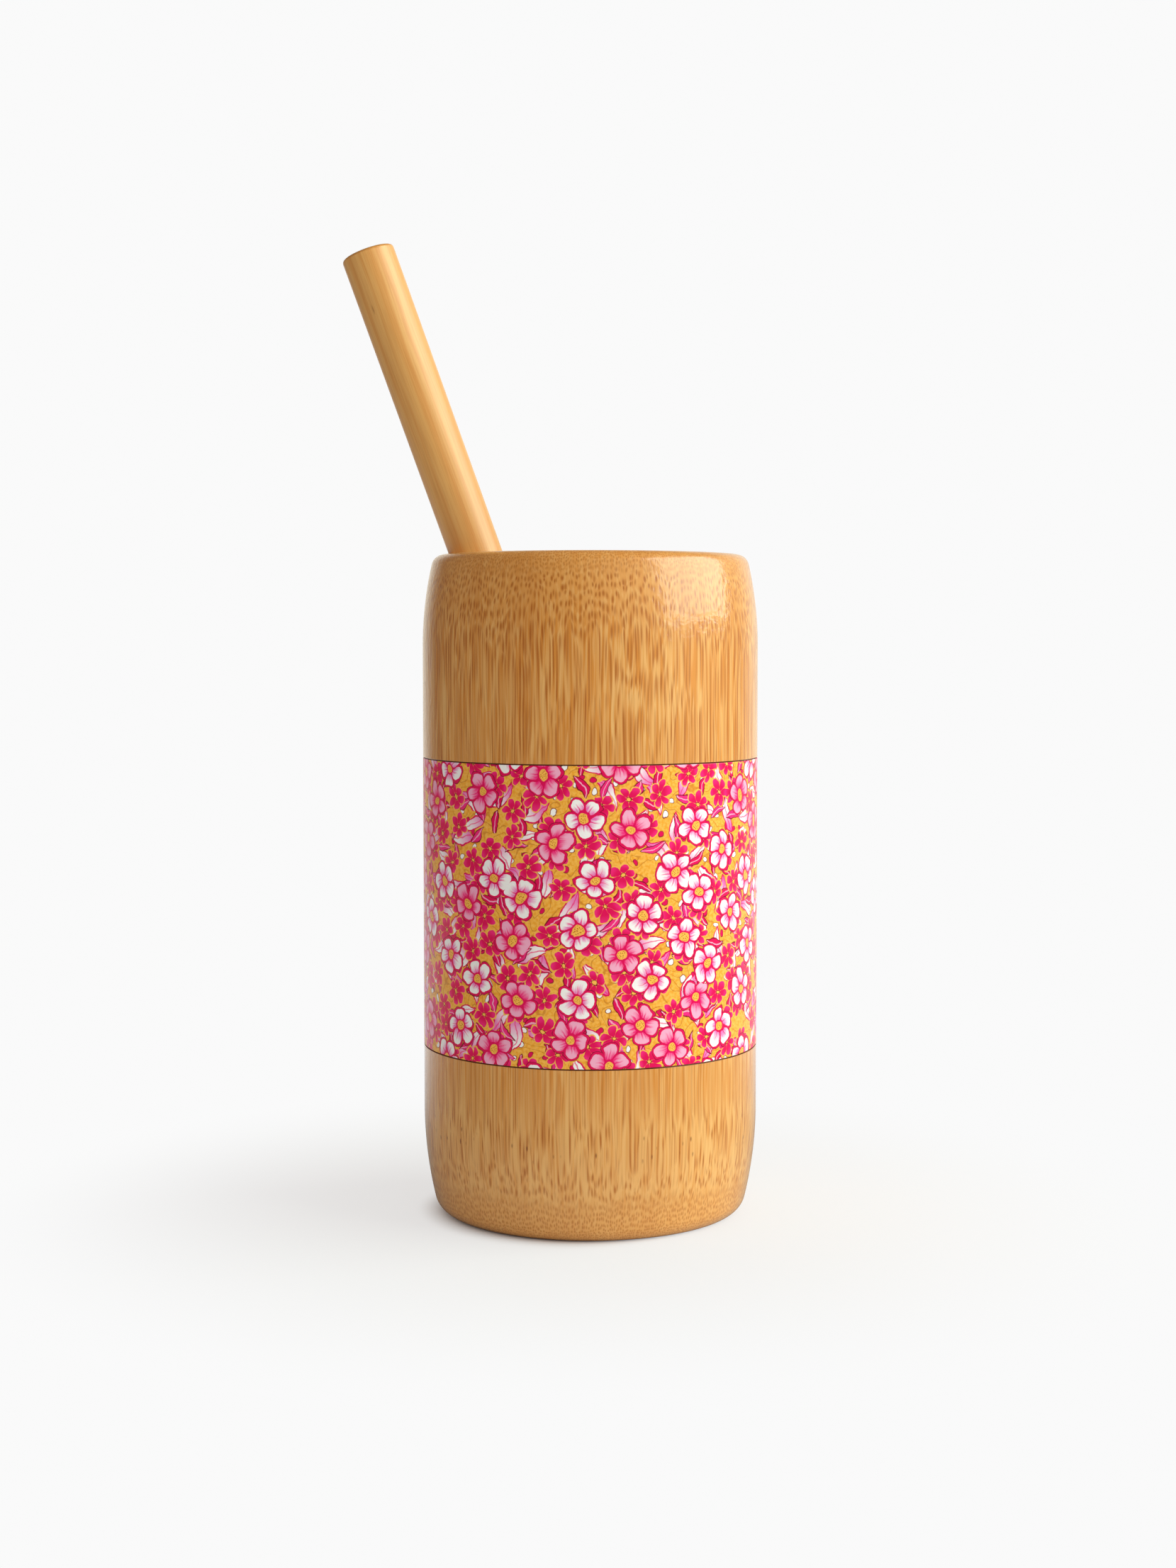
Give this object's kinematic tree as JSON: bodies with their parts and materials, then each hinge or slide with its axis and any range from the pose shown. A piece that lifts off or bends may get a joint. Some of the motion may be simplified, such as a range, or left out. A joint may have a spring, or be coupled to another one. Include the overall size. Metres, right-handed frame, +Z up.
{
  "type": "bamboo cup",
  "caption": "Tall turned bamboo cup with its grown node as the floor, a printed band round the middle and a loose bamboo straw.",
  "frame": {"origin": "centre of the foot ring's flat underside, on the cup's axis, at table height", "axes": "+Z up along the cup's axis; the straw leans towards -X with a slight turn towards +Y; the printed band's seam is at +Y"},
  "size_m": [0.0928, 0.075, 0.2168],
  "materials": {
    "turned_bamboo": "gloss lacquer",
    "adhesive": "clear, dried",
    "printed_film": "printed, glossy",
    "straw_bamboo": "smooth, glossy rind"
  },
  "bodies": {
    "cup": {"cup_body": "turned_bamboo", "wrap_adhesive": "adhesive", "printed_wrap": "printed_film"},
    "straw": {"straw": "straw_bamboo"}
  },
  "joints": [
    {"name": "straw_lift", "type": "slide", "parent": "cup", "child": "straw", "axis": [-0.3392, 0.0297, 0.9402], "range_m": [0, 0.14]}
  ]
}
